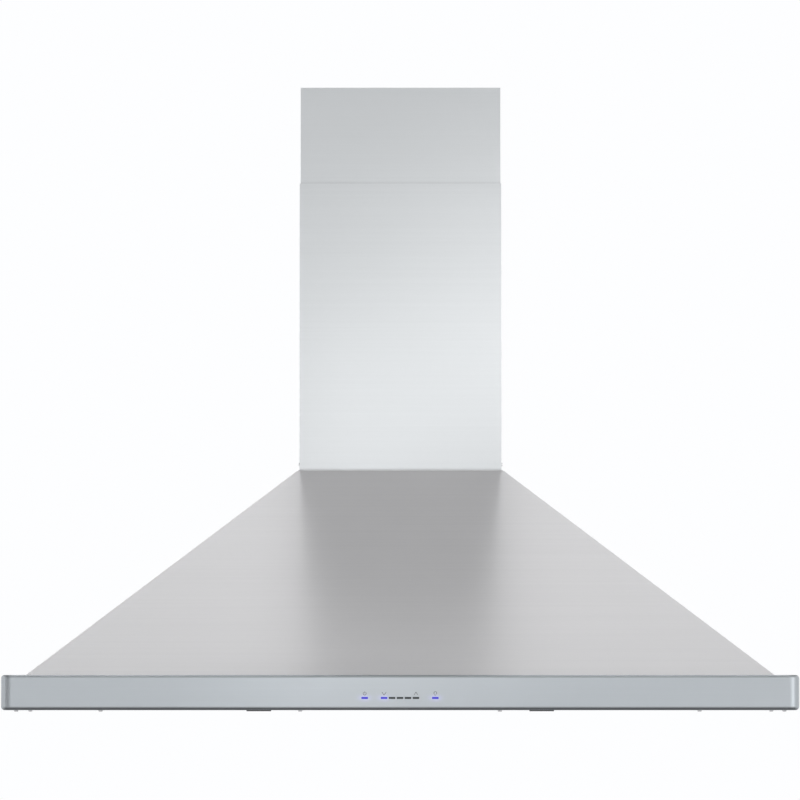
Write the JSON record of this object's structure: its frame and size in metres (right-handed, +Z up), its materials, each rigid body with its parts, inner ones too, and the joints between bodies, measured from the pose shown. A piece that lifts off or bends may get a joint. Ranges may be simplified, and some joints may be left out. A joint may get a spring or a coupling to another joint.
{
  "type": "wall mount range hood",
  "caption": "Wall mount range hood with a steel pyramid canopy, touch controls, baffle filters and a telescopic duct cover.",
  "frame": {"origin": "on the wall plane, in the middle of the four wall fixing holes", "axes": "+X across the hood to the right as seen from the front, -Y out of the wall towards the cook, +Z up"},
  "size_m": [1.216, 0.6, 0.9904],
  "materials": {
    "canopy_steel": "brushed",
    "rim_steel": "brushed",
    "duct_steel": "brushed",
    "galvanised_steel": "dull zinc",
    "baffle_steel": "polished",
    "wheel_steel": "dull zinc",
    "motor_paint": "satin",
    "shaft_steel": "ground",
    "bearing_bronze": "sintered",
    "bezel_chrome": "satin",
    "lamp_lens": "frosted",
    "lamp_body": "cast",
    "latch_plastic": "satin",
    "control_plastic": "satin",
    "board_green": "solder mask",
    "pad_rubber": "matte",
    "lit_guide": "lit",
    "dark_guide": "gloss",
    "terminal_plastic": "moulded",
    "driver_plastic": "moulded",
    "capacitor_plastic": "moulded",
    "bushing_rubber": "matte",
    "screw_steel": "plated"
  },
  "bodies": {
    "hood": {"canopy_shell": "canopy_steel", "rim_band": "rim_steel", "back_panel": "galvanised_steel", "top_plate": "canopy_steel", "liner_pan": "rim_steel", "filter_divider": "rim_steel", "lower_duct_cover": "duct_steel", "cover_frame": "galvanised_steel", "duct_collar": "galvanised_steel", "collar_flange": "galvanised_steel", "damper_axle": "shaft_steel", "blower_wrapper": "galvanised_steel", "blower_side_left": "galvanised_steel", "blower_side_right": "galvanised_steel", "blower_bracket": "galvanised_steel", "motor_body": "motor_paint", "motor_end_bells": "lamp_body", "motor_bearings": "bearing_bronze", "motor_bracket": "galvanised_steel", "capacitor": "capacitor_plastic", "capacitor_clamp": "galvanised_steel", "lamp_bezels": "bezel_chrome", "lamp_lenses": "lamp_lens", "lamp_housings": "lamp_body", "control_housing": "control_plastic", "control_board": "board_green", "touch_pads": "pad_rubber", "lit_light_guides": "lit_guide", "dark_light_guides": "dark_guide", "wiring_box": "galvanised_steel", "wiring_box_cover": "galvanised_steel", "terminal_block": "terminal_plastic", "lamp_driver": "driver_plastic", "cable_bushing": "bushing_rubber", "lamp_lead": "driver_plastic", "control_lead": "latch_plastic", "motor_lead": "latch_plastic", "cover_screws": "screw_steel", "collar_screws": "screw_steel", "liner_screws": "screw_steel", "motor_screws": "screw_steel", "blower_screws": "screw_steel", "wiring_screws": "screw_steel"},
    "upper_cover": {"upper_duct_cover": "duct_steel", "ceiling_bracket": "galvanised_steel", "bracket_screws": "screw_steel"},
    "blower_wheel": {"impeller": "wheel_steel", "impeller_hub": "lamp_body", "motor_shaft": "shaft_steel"},
    "flap_front": {"damper_flap_front": "galvanised_steel"},
    "flap_rear": {"damper_flap_rear": "galvanised_steel"},
    "filter_left": {"filter_left_frame": "baffle_steel", "filter_left_baffles": "baffle_steel"},
    "filter_right": {"filter_right_frame": "baffle_steel", "filter_right_baffles": "baffle_steel"},
    "latch_left": {"filter_left_latch": "latch_plastic"},
    "latch_right": {"filter_right_latch": "latch_plastic"}
  },
  "joints": [
    {"name": "upper_cover_slide", "type": "slide", "parent": "hood", "child": "upper_cover", "axis": [0, 0, 1], "range_m": [-0.11, 0.27]},
    {"name": "wheel_spin", "type": "hinge", "parent": "hood", "child": "blower_wheel", "pos_m": [0, -0.24, 0.015], "axis": [1, 0, 0], "continuous": true},
    {"name": "flap_front_swing", "type": "hinge", "parent": "hood", "child": "flap_front", "pos_m": [0, -0.145, 0.2162], "axis": [-1, 0, 0], "range_deg": [0, 78]},
    {"name": "flap_rear_swing", "type": "hinge", "parent": "hood", "child": "flap_rear", "pos_m": [0, -0.145, 0.2162], "axis": [1, 0, 0], "range_deg": [0, 78]},
    {"name": "filter_left_tilt", "type": "hinge", "parent": "hood", "child": "filter_left", "pos_m": [-0.219, -0.093, -0.1746], "axis": [1, 0, 0], "range_deg": [0, 60]},
    {"name": "filter_right_tilt", "type": "hinge", "parent": "hood", "child": "filter_right", "pos_m": [0.219, -0.093, -0.1746], "axis": [1, 0, 0], "range_deg": [0, 60]},
    {"name": "latch_left_slide", "type": "slide", "parent": "filter_left", "child": "latch_left", "axis": [0, 1, 0], "range_m": [0, 0.006], "stiffness_N_per_m": 800, "springref_m": -0.004},
    {"name": "latch_right_slide", "type": "slide", "parent": "filter_right", "child": "latch_right", "axis": [0, 1, 0], "range_m": [0, 0.006], "stiffness_N_per_m": 800, "springref_m": -0.004}
  ]
}
